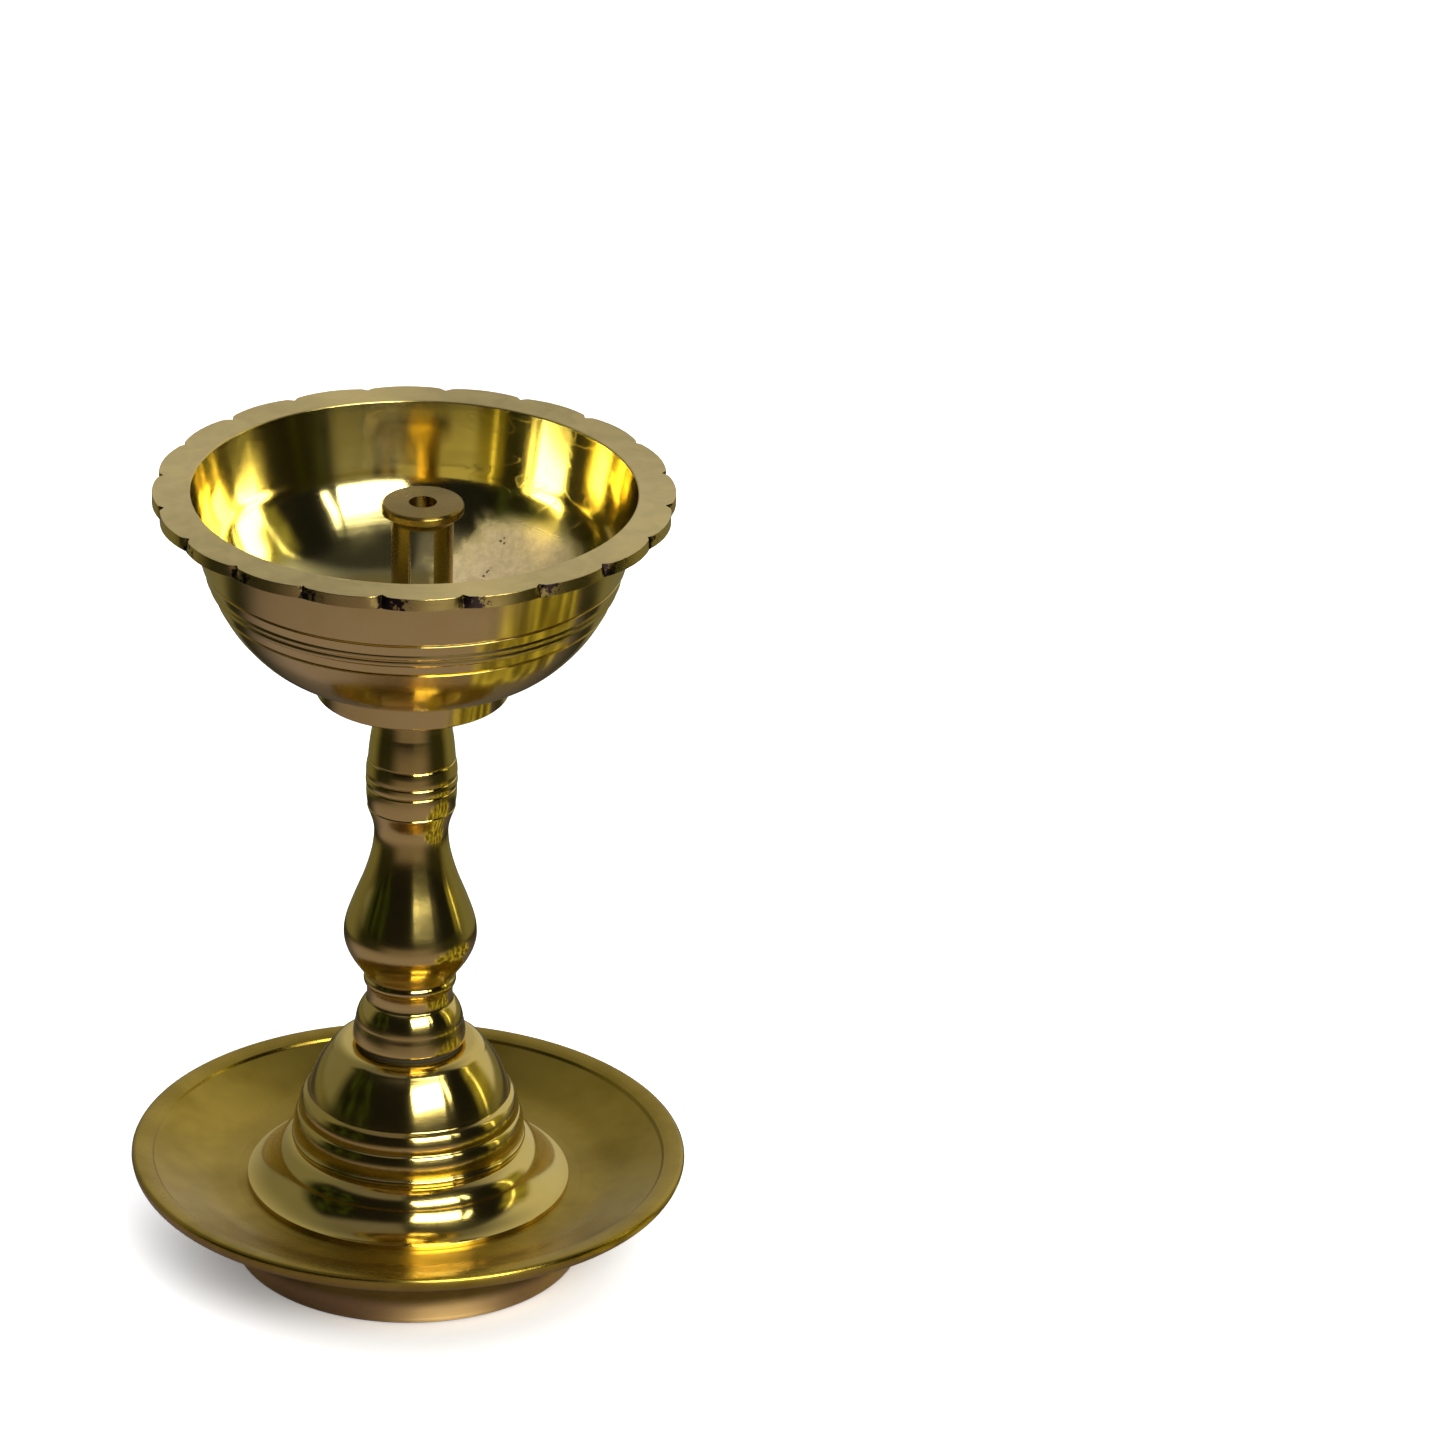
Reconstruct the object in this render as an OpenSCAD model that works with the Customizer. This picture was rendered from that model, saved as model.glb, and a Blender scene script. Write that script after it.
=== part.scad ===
// Pedestal oil lamp (diya): a scalloped bowl screwed on a turned stem, which is screwed through
// a hollow bell dome to a drip tray. A loose wick holder stands in the bowl.
// Millimetres. +Z is up, and the origin is the centre of the plane that the foot ring rests on.
// Screw threads are plain cylinders at the crest diameter, with a running gap to their hole.

/* [Overall] */
// Height from the resting plane to the top of the bowl's rim
lamp_h = 130; // [128:0.5:134]

/* [Drip tray] */
// Outer radius of the lip
tray_r = 43.5; // [42.5:0.5:46]
// Height of the lip's top
tray_h = 16.8; // [16.4:0.1:17.4]
// Height of the flat middle of the dish
dish_z = 12; // [11.6:0.1:12.4]
// Radius of the flat middle of the dish
dish_flat_r = 27; // [26:0.5:29]
// Width of the band around the lip
lip_w = 3.6; // [3:0.1:4.5]
// Radius of the foot ring where it meets the table
foot_r = 26.6; // [25.5:0.1:27.5]
// Width of the foot ring's resting face
foot_w = 2.2; // [1.8:0.1:3]
// Thickness of the floor of the dish
tray_t = 2.6; // [2.2:0.1:3]

/* [Bell dome] */
// Radius of the thin flange that stands in the dish
dome_r = 25.3; // [24.5:0.1:25.8]
// Radius of the flat crown under the stem
crown_r = 11.9; // [11.5:0.1:12.2]
// Height of the dome
dome_h = 24; // [23.5:0.1:25]
// Thickness of the flange's edge
flange_t = 0.8; // [0.6:0.1:1]
// Thickness of the dome's top
dome_top_t = 3; // [2.5:0.1:3.5]

/* [Stem] */
// Radius of the collar at the foot of the stem
collar_r = 8.9; // [8.5:0.1:9.2]
// Largest radius of the vase
vase_r = 10.4; // [10:0.1:11]
// Radius of the neck over the vase
neck_r = 5.8; // [5.6:0.1:6.2]
// Largest radius of the knop under the bowl
knop_r = 7.15; // [7:0.05:7.5]

/* [Bowl] */
// Radius of the rim at the top of each lobe
rim_r = 40; // [39:0.5:42]
// Radius of the opening
rim_bore_r = 34.15; // [33.8:0.05:34.4]
// Thickness of the rim
rim_t = 2; // [1.8:0.1:2.4]
// Number of lobes round the rim
lobes = 20; // [18:1:24]
// Depth of the hollow between two lobes at the rim's underside
notch = 0.7; // [0.5:0.05:0.9]
// Depth of the notch filed into that hollow, at the rim's top
cut = 1.3; // [1.1:0.05:1.6]
// Angle between the two sides of that notch
cut_open = 100; // [80:5:120]
// Lean of that notch, which is deepest at the top
cut_lean = 17; // [12:1:20]
// Angle that the rim's lobes are turned from the front
lobe_turn = 4; // [0:0.5:18]
// Height of the bowl, foot included
bowl_h = 33.6; // [33.6:0.1:34.4]
// Depth of the bowl from the rim to the flat where the wick holder stands
bowl_depth = 26.4; // [26:0.1:26.6]
// Radius of that flat
bowl_flat_r = 11; // [10.5:0.1:12]
// Radius of the bowl's foot
bowl_foot_r = 15.2; // [14.8:0.1:15.6]
// Height of the bowl's foot
bowl_foot_h = 4.3; // [4:0.1:4.4]

/* [Wick holder] */
// Radius of the cap
cap_r = 6.4; // [6:0.1:7]
// Thickness of the cap
cap_t = 1.7; // [1.5:0.1:2]
// Radius of the hole that the wick comes out of
wick_r = 2.15; // [2:0.05:2.5]
// Outer radius of the slotted tube
tube_r = 4.75; // [4.5:0.05:5]
// Radius of the channel inside the tube
channel_r = 2.6; // [2.55:0.05:2.9]
// Width of the slot that lets oil in to the wick
slot_w = 3.8; // [3.4:0.1:4]
// Radius of the holder's foot
holder_foot_r = 8; // [7:0.1:8.5]
// Thickness of the holder's foot
holder_foot_t = 2; // [1.6:0.1:2.4]
// Gap from the cap up to the level of the rim
cap_below_rim = 1.9; // [1:0.1:3]
// How far the holder stands to the right of the bowl's centre
holder_shift = 1.3; // [0:0.1:1.8]

/* [Fasteners] */
// Diameter of the rod's and the stud's thread
thread_d = 6; // [5:0.5:6]
// Radial gap between a thread and its hole
thread_gap = 0.05; // [0.02:0.01:0.1]
// Length of rod inside the stem
rod_grip = 11; // [9:0.5:11]
// Length of stud inside the stem
stud_grip = 7.5; // [6:0.5:8]
// Length of stud inside the bowl's foot
stud_in_bowl = 4.4; // [4:0.1:4.6]
// Width of the nut across its flats
nut_af = 10; // [9:0.5:10]
// Height of the nut
nut_h = 5; // [4:0.5:5]
// Radius of the steel washer
washer_r = 7; // [6.5:0.5:8]
// Thickness of the steel washer
washer_t = 1; // [0.8:0.1:1.2]
// Thickness of each rubber washer
rubber_t = 0.7; // [0.5:0.1:0.8]

/* [Hidden] */
$fn = 96;

brass = [0.80, 0.64, 0.27];
polished = [0.86, 0.70, 0.30];
steel = [0.66, 0.67, 0.68];
rubber = [0.10, 0.08, 0.06];

thread_r = thread_d / 2;
tap_r = thread_r + thread_gap;
rod_hole_r = thread_r + 0.25;      // clearance hole in the dome and the tray
hole_spare = 1.5;                  // depth of a tapped hole past the end of its thread

tray_under_z = dish_z - tray_t;
dome_z = dish_z;
dome_top_z = dome_z + dome_h;
stem_z = dome_top_z + rubber_t;
bowl_z = lamp_h - bowl_h;
stem_top_z = bowl_z - rubber_t;
rim_z = lamp_h - rim_t;
bowl_flat_z = lamp_h - bowl_depth;
stem_drawn_h = 59;                 // height that the stem's outline is drawn for
stem_stretch = (stem_top_z - stem_z) / stem_drawn_h;

cap_z = lamp_h - cap_below_rim - cap_t;
rod_bottom_z = tray_under_z - washer_t - nut_h - 1.2;
notch_r = rim_r - notch;
lobe_half = notch_r * sin(180 / lobes);                  // half the width of one lobe
lobe_rise = rim_r - notch_r * cos(180 / lobes);          // height of a lobe over its chord
lobe_r = (lobe_half * lobe_half + lobe_rise * lobe_rise) / (2 * lobe_rise);

// v turned by a degrees
function turned(v, a) = [v.x * cos(a) - v.y * sin(a), v.x * sin(a) + v.y * cos(a)];

// Points on an arc from a to b, a left out. Its middle stands sag to the right of the way
// from a to b, so on an outline drawn upwards a positive sag bulges away from the axis.
function arc(a, b, sag, n = 6) =
    let (way = b - a, span = norm(way), r = (span * span / 4 + sag * sag) / (2 * abs(sag)),
         right = [way.y, -way.x] / span, centre = (a + b) / 2 + right * sign(sag) * (abs(sag) - r),
         sweep = 2 * asin(span / 2 / r) * sign(sag))
    [for (i = [1:n]) centre + turned(a - centre, sweep * i / n)];

// Points on a smooth curve through all of p, the first left out
function smooth(p, n = 5) =
    [for (i = [0:len(p) - 2], s = [1:n])
        let (t = s / n, before = p[max(i - 1, 0)], after = p[min(i + 2, len(p) - 1)],
             m0 = (p[i + 1] - before) / 2, m1 = (after - p[i]) / 2)
        (2 * t * t * t - 3 * t * t + 1) * p[i] + (t * t * t - 2 * t * t + t) * m0
        + (3 * t * t - 2 * t * t * t) * p[i + 1] + (t * t * t - t * t) * m1];

// A ring of half-round beads from a to b, each with a fine groove at its ends
function beads(a, b, count, sag) =
    [for (i = [0:count - 1]) each
        concat([a + (b - a) * (i + 0.06) / count],
               arc(a + (b - a) * (i + 0.06) / count, a + (b - a) * (i + 0.94) / count, sag, 5))];

module revolved(outline) { rotate_extrude(convexity = 8) polygon(outline); }

module ring(r_out, r_in, z, h) {
    translate([0, 0, z]) difference() {
        cylinder(r = r_out, h = h);
        translate([0, 0, -1]) cylinder(r = r_in, h = h + 2);
    }
}

// ---- drip tray: a shallow dish with a banded lip, on a hollow foot ring ----
module drip_tray() {
    lip_in = tray_r - lip_w;
    ring_top_r = foot_r + 5;
    dish_edge = [lip_in, tray_h - 0.9];
    lip_top = [tray_r - 0.7, tray_h];
    lip_side = [tray_r, tray_h - 0.8];
    lip_low = [tray_r - 0.8, tray_h - 2.4];
    ring_top = [ring_top_r, tray_under_z + 0.6];
    ring_side = [foot_r + 0.8, 1.2];
    recess_top = [foot_r - foot_w + 3.4, tray_under_z - 0.8];
    color(brass) revolved(concat(
        [[rod_hole_r, tray_under_z], [recess_top.x - 0.8, tray_under_z]],
        arc([recess_top.x - 0.8, tray_under_z], recess_top, -0.2, 3),
        [[foot_r - foot_w, 0], [foot_r, 0]],
        arc([foot_r, 0], ring_side, 0.25, 4),
        arc(ring_side, ring_top, -0.5, 8),
        arc(ring_top, lip_low, 0.5, 8),
        arc(lip_low, lip_side, 0.15, 4),
        arc(lip_side, lip_top, 0.25, 4),
        arc(lip_top, dish_edge + [0.35, 0.45], 0.1, 3),
        [dish_edge],
        smooth([dish_edge, [lip_in - 4, tray_h - 2.5], [dish_flat_r + 4, dish_z + 0.5],
                [dish_flat_r, dish_z]], 5),
        [[rod_hole_r, dish_z]]));
}

// ---- bell dome: hollow, with a cone, two bands, a bead and a flared flange ----
module bell_dome() {
    flange_top = [dome_r, dome_z + flange_t];
    cove = [dome_r - 4.5, dome_z + 4.3];
    shoulder = [dome_r - 7.3, dome_z + 7.2];
    bead_low = [dome_r - 7.0, dome_z + 7.5];
    bead_high = [dome_r - 7.2, dome_z + 8.3];
    band_low = [dome_r - 7.3, dome_z + 8.5];
    band_mid = [dome_r - 7.8, dome_z + 11.9];
    band_top = [dome_r - 8.1, dome_z + 12.2];
    cone_low = [dome_r - 8.8, dome_z + 15.1];
    cone_base = [dome_r - 9.4, dome_z + 15.6];
    crown_edge = [crown_r + 0.15, dome_top_z - 1.1];
    crown_top = [crown_r - 2, dome_top_z];
    inside_top = [crown_r - 2.6, dome_top_z - dome_top_t];
    color(polished) revolved(concat(
        [[dome_r - 1.6, dome_z], [dome_r, dome_z], flange_top],
        arc(flange_top, cove, -0.75, 10),
        arc(cove, shoulder, 0.6, 8),
        [bead_low],
        arc(bead_low, bead_high, 0.15, 4),
        arc(bead_high, band_low, 0.03, 2),
        arc(band_low, band_mid, 0.3, 6),
        [band_top],
        arc(band_top, cone_low, 0.26, 6),
        [cone_base],
        arc(cone_base, crown_edge, 0.42, 12),
        arc(crown_edge, crown_top, 0.32, 6),
        [[rod_hole_r, dome_top_z], [rod_hole_r, inside_top.y], inside_top],
        arc(inside_top, [13.8, dome_z + 15], 0.4, 5),
        [[15.6, dome_z + 8.4]],
        arc([15.6, dome_z + 8.4], [dome_r - 1.6, dome_z], 1.1, 7)));
}

// ---- stem: collar, ridge, vase, neck and banded knop, tapped at both ends ----
module stem() {
    function at(r, z) = [r, stem_z + z * stem_stretch];
    hole_low = rod_grip + hole_spare;
    hole_high = stud_grip + hole_spare;
    color(polished) revolved(concat(
        [[tap_r, stem_z], [collar_r - 0.35, stem_z]],
        arc([collar_r - 0.35, stem_z], [collar_r, stem_z + 0.35], 0.1, 3),
        arc([collar_r, stem_z + 0.35], at(collar_r - 0.45, 3.1), 0.06, 3),
        arc(at(collar_r - 0.45, 3.1), at(7.05, 6.6), 0.28, 8),
        [at(6.85, 6.8), at(6.75, 7.2)],
        arc(at(6.75, 7.2), at(6.85, 9.4), -0.08, 3),
        [at(6.95, 9.5)],
        arc(at(6.95, 9.5), at(7.0, 11.1), 0.28, 6),
        [at(6.95, 11.3)],
        smooth([at(6.95, 11.3), at(7.7, 12.3), at(9.2, 14.5), at(vase_r - 0.3, 16.5),
                at(vase_r, 18.4), at(vase_r - 0.35, 20.8), at(8.85, 24.3), at(7.3, 28.3),
                at(6.2, 32.2), at(neck_r, 35.4), at(6.0, 37.5), at(6.8, 39.9)], 6),
        [at(6.9, 40.2), at(6.8, 40.35)],
        arc(at(6.8, 40.35), at(knop_r - 0.1, 43.7), 0.1, 4),
        [at(knop_r - 0.25, 43.9), at(knop_r - 0.05, 44.1)],
        arc(at(knop_r - 0.05, 44.1), at(knop_r - 0.05, 45.4), 0.06, 3),
        [at(knop_r - 0.2, 45.6), at(knop_r - 0.05, 45.8)],
        arc(at(knop_r - 0.05, 45.8), at(knop_r - 0.3, 48.2), 0.1, 4),
        [at(knop_r - 0.45, 48.4), at(knop_r - 0.35, 48.6)],
        arc(at(knop_r - 0.35, 48.6), at(6.2, 53.5), 0.08, 6),
        arc(at(6.2, 53.5), [6.4, stem_top_z], -0.2, 6),
        [[tap_r, stem_top_z], [tap_r, stem_top_z - hole_high]],
        [[0, stem_top_z - hole_high - 1], [0, stem_z + hole_low + 1]],
        [[tap_r, stem_z + hole_low]]));
}

// ---- bowl: a scalloped flat rim on a beaded wall, with a solid foot ----
module bowl() {
    wall_top = [rim_bore_r + 0.9, rim_z + 0.2];
    band_high = [32.6, bowl_z + 22.6];
    band_low = [30.2, bowl_z + 16.3];
    bead_low = band_low + (band_high - band_low) * 0.3;
    bead_high = band_low + (band_high - band_low) * 0.68;
    foot_top = [bowl_foot_r + 0.45, bowl_z + bowl_foot_h];
    seat_r = 9;                    // flat that the stem's washer bears on
    recess_r = bowl_foot_r - 1.8;  // turned recess round that flat
    inside_low = [bowl_flat_r, bowl_flat_z];
    color(brass) difference() {
        union() {
            revolved(concat(
                [[0, bowl_z], [seat_r, bowl_z], [seat_r + 0.6, bowl_z + 1], [recess_r - 0.6, bowl_z + 1],
                 [recess_r, bowl_z], [bowl_foot_r - 0.6, bowl_z]],
                arc([bowl_foot_r - 0.6, bowl_z], [bowl_foot_r - 0.2, bowl_z + 0.5], 0.12, 3),
                [foot_top, foot_top + [-0.2, 0.25]],
                smooth([foot_top + [-0.2, 0.25], [18.4, bowl_z + 5.1], [21.8, bowl_z + 6.6],
                        [24.9, bowl_z + 9], [28, bowl_z + 12.6], band_low], 5),
                [band_low + [-0.45, 0.2], band_low + [0.1, 0.4]],
                beads(bead_low, bead_high, 2, 0.22),
                [band_high + [-0.1, -0.4], band_high + [-0.45, -0.2], band_high],
                smooth([band_high, [33.6, bowl_z + 26.3], wall_top], 5),
                [[0, rim_z + 0.2]]));
            translate([0, 0, rim_z]) linear_extrude(height = rim_t) rim_plan();
        }
        revolved(concat(
            [[0, bowl_flat_z], inside_low],
            smooth([inside_low, [16.4, bowl_flat_z + 0.7], [21.35, bowl_flat_z + 2.75],
                    [25.65, bowl_flat_z + 6.05], [28.95, lamp_h - 16.05], [30.97, lamp_h - 12.5],
                    [31.71, lamp_h - 10], [32.4, lamp_h - 7.5], [33.03, lamp_h - 5],
                    [33.62, lamp_h - 2.5], [rim_bore_r, lamp_h - 0.15]], 4),
            [[rim_bore_r + 0.15, lamp_h], [rim_bore_r + 0.15, lamp_h + 1], [0, lamp_h + 1]]));
        for (i = [0:lobes - 1])
            rotate(lobe_turn - 90 + (i + 0.5) * 360 / lobes) translate([rim_r - cut, 0, lamp_h])
                rotate([0, -cut_lean, 0]) translate([0, 0, -3]) linear_extrude(height = 4)
                    polygon([[0, 0], [3, -3 * tan(cut_open / 2)], [3, 3 * tan(cut_open / 2)]]);
        translate([0, 0, bowl_z - 1]) cylinder(r = thread_r, h = stud_in_bowl + 1);
    }
}

// Plan of the rim: one round lobe after another
module rim_plan() {
    circle(r = notch_r - 1);
    for (i = [0:lobes - 1])
        rotate(lobe_turn - 90 + i * 360 / lobes) translate([rim_r - lobe_r, 0]) circle(r = lobe_r);
}

// ---- wick holder: a turned foot, a slotted tube and a holed cap, cast in one ----
module wick_holder() {
    foot_top = bowl_flat_z + holder_foot_t;
    slot_top = cap_z - 1.2;
    color(brass) translate([holder_shift, 0, 0]) difference() {
        revolved(concat(
            [[0, bowl_flat_z], [holder_foot_r - 0.3, bowl_flat_z], [holder_foot_r, bowl_flat_z + 0.3]],
            arc([holder_foot_r, bowl_flat_z + 0.3], [tube_r, foot_top + 1.2], -0.6, 6),
            [[tube_r, cap_z - 1.1]],
            arc([tube_r, cap_z - 1.1], [cap_r - 0.4, cap_z], -0.2, 4),
            [[cap_r, cap_z + 0.3], [cap_r, cap_z + cap_t - 0.4]],
            arc([cap_r, cap_z + cap_t - 0.4], [cap_r - 0.5, cap_z + cap_t], 0.12, 3),
            [[0, cap_z + cap_t]]));
        translate([0, 0, foot_top]) cylinder(r = wick_r, h = lamp_h);
        translate([0, 0, foot_top]) cylinder(r = channel_r, h = slot_top - foot_top);
        translate([-slot_w / 2, -cap_r - 1, foot_top]) cube([slot_w, 2 * cap_r + 2, slot_top - foot_top]);
    }
}

// ---- threaded pieces and washers ----
module tie_rod() {
    color(steel) translate([0, 0, rod_bottom_z])
        cylinder(r = thread_r, h = stem_z + rod_grip - rod_bottom_z);
}

module bowl_stud() {
    color(steel) translate([0, 0, bowl_z - stud_grip])
        cylinder(r = thread_r, h = stud_grip + stud_in_bowl);
}

module steel_washer() {
    color(steel) ring(washer_r, rod_hole_r, tray_under_z - washer_t, washer_t);
}

module hex_nut() {
    corner_r = nut_af / 2 / cos(30);
    bottom_z = tray_under_z - washer_t - nut_h;
    color(steel) translate([0, 0, bottom_z]) difference() {
        intersection() {
            cylinder(r = corner_r, h = nut_h, $fn = 6);
            revolved([[0, 0], [nut_af / 2 - 0.2, 0], [corner_r + 0.1, 0.9],
                      [corner_r + 0.1, nut_h], [0, nut_h]]);
        }
        translate([0, 0, -1]) cylinder(r = tap_r, h = nut_h + 2);
    }
}

module collar_washer() {
    color(rubber) ring(collar_r - 0.5, rod_hole_r, dome_top_z, rubber_t);
}

module seat_washer() {
    color(rubber) ring(6.2, rod_hole_r, stem_top_z, rubber_t);
}

drip_tray();
bell_dome();
tie_rod();
steel_washer();
hex_nut();
collar_washer();
stem();
seat_washer();
bowl();
bowl_stud();
wick_holder();
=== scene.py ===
"""The looks of the diya oil lamp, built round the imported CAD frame.

Every turned piece is a fine lathe mesh that takes its outline from the CAD node that it stands for,
so it has exactly that node's size. Lengths are metres, in the CAD's own frame.
"""

import math
from types import SimpleNamespace

import bmesh
import bpy
import numpy as np
from mathutils import Matrix, Vector


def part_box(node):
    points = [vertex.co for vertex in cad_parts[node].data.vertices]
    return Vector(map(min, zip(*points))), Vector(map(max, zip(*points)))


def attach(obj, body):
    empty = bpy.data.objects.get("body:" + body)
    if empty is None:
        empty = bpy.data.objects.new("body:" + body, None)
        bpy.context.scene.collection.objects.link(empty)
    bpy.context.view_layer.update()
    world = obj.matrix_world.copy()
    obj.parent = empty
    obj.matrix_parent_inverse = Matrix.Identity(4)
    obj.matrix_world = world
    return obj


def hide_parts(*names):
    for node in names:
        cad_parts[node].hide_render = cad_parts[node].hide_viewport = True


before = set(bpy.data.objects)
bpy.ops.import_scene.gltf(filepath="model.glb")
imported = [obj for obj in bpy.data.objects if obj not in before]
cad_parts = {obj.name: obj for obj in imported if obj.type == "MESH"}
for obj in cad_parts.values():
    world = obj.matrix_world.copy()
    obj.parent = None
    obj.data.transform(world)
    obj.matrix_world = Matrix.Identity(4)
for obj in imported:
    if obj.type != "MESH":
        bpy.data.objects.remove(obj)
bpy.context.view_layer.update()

MM = 0.001
TAU = 2 * math.pi
DEGREES = 180 / math.pi

# ---- camera: a long lens that looks down at a spot to the right of the lamp's stem ----
CAMERA_TARGET = Vector((47.8, 0, 92.1)) * MM
CAMERA_DISTANCE = 1494.4 * MM
CAMERA_PITCH = math.radians(25.4)
CAMERA_ROLL = math.radians(1.4)
CAMERA_SENSOR = 36        # mm
CAMERA_LENS = 241.66      # mm


def make_camera():
    camera = bpy.data.objects.new("camera", bpy.data.cameras.new("camera"))
    camera.data.sensor_width = CAMERA_SENSOR
    camera.data.lens = CAMERA_LENS
    camera.data.clip_start = 0.05
    camera.data.clip_end = 100
    ahead = Vector((0, math.cos(CAMERA_PITCH), -math.sin(CAMERA_PITCH)))
    right = Vector((1, 0, 0))
    up = right.cross(ahead)
    turned_right = math.cos(CAMERA_ROLL) * right + math.sin(CAMERA_ROLL) * up
    turned_up = math.cos(CAMERA_ROLL) * up - math.sin(CAMERA_ROLL) * right
    camera.matrix_world = Matrix.Translation(CAMERA_TARGET - CAMERA_DISTANCE * ahead) @ Matrix(
        (turned_right, turned_up, -ahead)).transposed().to_4x4()
    bpy.context.scene.collection.objects.link(camera)
    bpy.context.scene.camera = camera


# ---- shader nodes ----
def add(tree, kind, inputs=None, **settings):
    """A new node. inputs maps a socket's name or number to a value, or to a socket to link."""
    made = tree.nodes.new(kind)
    for name, value in settings.items():
        setattr(made, name, value)
    for key, value in (inputs or {}).items():
        if isinstance(value, bpy.types.NodeSocket):
            tree.links.new(value, made.inputs[key])
        else:
            made.inputs[key].default_value = value
    return made


def calc(tree, operation, a, b=0.0):
    return add(tree, "ShaderNodeMath", {0: a, 1: b}, operation=operation).outputs[0]


def plus(tree, a, b):
    return calc(tree, "ADD", a, b)


def minus(tree, a, b):
    return calc(tree, "SUBTRACT", a, b)


def times(tree, a, b):
    return calc(tree, "MULTIPLY", a, b)


def swing(tree, value, size):
    """A noise from 0 to 1 turned into one about zero that is size wide."""
    return times(tree, minus(tree, value, 0.5), size)


def smoothstep(tree, value, low, high, bottom=0.0, top=1.0):
    return add(tree, "ShaderNodeMapRange", {"Value": value, "From Min": low, "From Max": high,
                                            "To Min": bottom, "To Max": top},
               interpolation_type="SMOOTHSTEP").outputs["Result"]


def mix(tree, factor, a, b):
    return add(tree, "ShaderNodeMix", {0: factor, 6: a, 7: b}, data_type="RGBA").outputs[2]


def noise(tree, vector, scale, detail=2.0, roughness=0.5, distortion=0.0):
    return add(tree, "ShaderNodeTexNoise",
               {"Vector": vector, "Scale": scale, "Detail": detail, "Roughness": roughness,
                "Distortion": distortion}).outputs["Fac"]


def cells(tree, vector, scale, randomness):
    """The distance to the middle of the nearest of many scattered cells."""
    return add(tree, "ShaderNodeTexVoronoi", {"Vector": vector, "Scale": scale,
                                              "Randomness": randomness}).outputs["Distance"]


def combine(tree, x, y, z):
    return add(tree, "ShaderNodeCombineXYZ", {0: x, 1: y, 2: z}).outputs[0]


def split(tree, vector):
    return add(tree, "ShaderNodeSeparateXYZ", {0: vector}).outputs


def measure(tree, operation, a, b=(0.0, 0.0, 0.0)):
    """The length of a, or its distance from b."""
    return add(tree, "ShaderNodeVectorMath", {0: a, 1: b}, operation=operation).outputs["Value"]


def attribute(tree, name):
    return add(tree, "ShaderNodeAttribute", attribute_name=name).outputs["Fac"]


def coordinate(tree, name):
    return add(tree, "ShaderNodeTexCoord").outputs[name]


def colour(r, g, b):
    return (r, g, b, 1.0)


def new_material(name):
    material = bpy.data.materials.new(name)
    material.use_nodes = True
    tree = material.node_tree
    return material, tree, tree.nodes["Principled BSDF"]


def finish_surface(tree, shader, look, depth):
    """Gives a shader its colour, its roughness, and bumps of that depth in metres."""
    tree.links.new(look.paint, shader.inputs["Base Color"])
    tree.links.new(look.roughness, shader.inputs["Roughness"])
    bump = add(tree, "ShaderNodeBump", {"Height": look.height, "Strength": 1.0, "Distance": depth})
    tree.links.new(bump.outputs[0], shader.inputs["Normal"])


# ---- studio: pale floor, a window and a narrow pane beside it, and what the brass reflects ----
WINDOW_DISTANCE = 1.4
WINDOW_ELEVATION = math.radians(35)
WINDOW_AZIMUTH = math.radians(28)       # to the right of the way to the camera
WINDOW_SIZE = (0.86, 0.46)
WINDOW_POWER = 18.0                     # watts
WINDOW_TINT = (1.0, 0.98, 0.95)
PANE_AZIMUTH = math.radians(56)
PANE_SIZE = (0.10, 0.42)
PANE_POWER = 0.7
PANE_TINT = (1.0, 0.98, 0.90)
FILL_STRENGTH = 3.6
FILL_ANGLE = math.radians(100)
FLOOR_SIZE = 40
FLOOR_GLOW = 0.22                       # keeps the lamp's shadow light
FLOOR_WHITE = colour(0.93, 0.93, 0.93)
WHITE = colour(1, 1, 1)
BLACK = colour(0, 0, 0)
TWIN_REFLECTION_SPOT = (0.105, -0.01, 0.0)         # where the painted reflection of the lamp's twin lies on the floor
TWIN_EDGE = 99                          # azimuth of its bright edge in degrees


def towards(azimuth, elevation):
    """The direction at that azimuth, counted from the camera's side to the right."""
    return Vector((math.sin(azimuth) * math.cos(elevation), -math.cos(azimuth) * math.cos(elevation),
                   math.sin(elevation)))


def make_window(name, azimuth, size, power, tint):
    lamp = bpy.data.lights.new(name, "AREA")
    lamp.shape = "RECTANGLE"
    lamp.size, lamp.size_y = size
    lamp.energy = power
    lamp.color = tint
    thing = bpy.data.objects.new(name, lamp)
    way = towards(azimuth, WINDOW_ELEVATION)
    thing.location = way * WINDOW_DISTANCE
    thing.rotation_euler = (-way).to_track_quat("-Z", "Y").to_euler()
    bpy.context.scene.collection.objects.link(thing)


def make_fill():
    """Soft light from overhead that lights the floor and leaves no reflection in the brass."""
    lamp = bpy.data.lights.new("overhead", "SUN")
    lamp.energy = FILL_STRENGTH
    lamp.angle = FILL_ANGLE
    thing = bpy.data.objects.new("overhead", lamp)
    thing.visible_glossy = False
    bpy.context.scene.collection.objects.link(thing)


def for_camera(tree, reflected, shown):
    """One colour where a ray comes straight from the camera, another where the brass reflects it."""
    return mix(tree, add(tree, "ShaderNodeLightPath").outputs["Is Camera Ray"], reflected, shown)


def azimuth_of(tree, x, y):
    """Degrees to the right of the way to the camera."""
    return times(tree, calc(tree, "ARCTAN2", x, times(tree, y, -1.0)), DEGREES)


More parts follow.
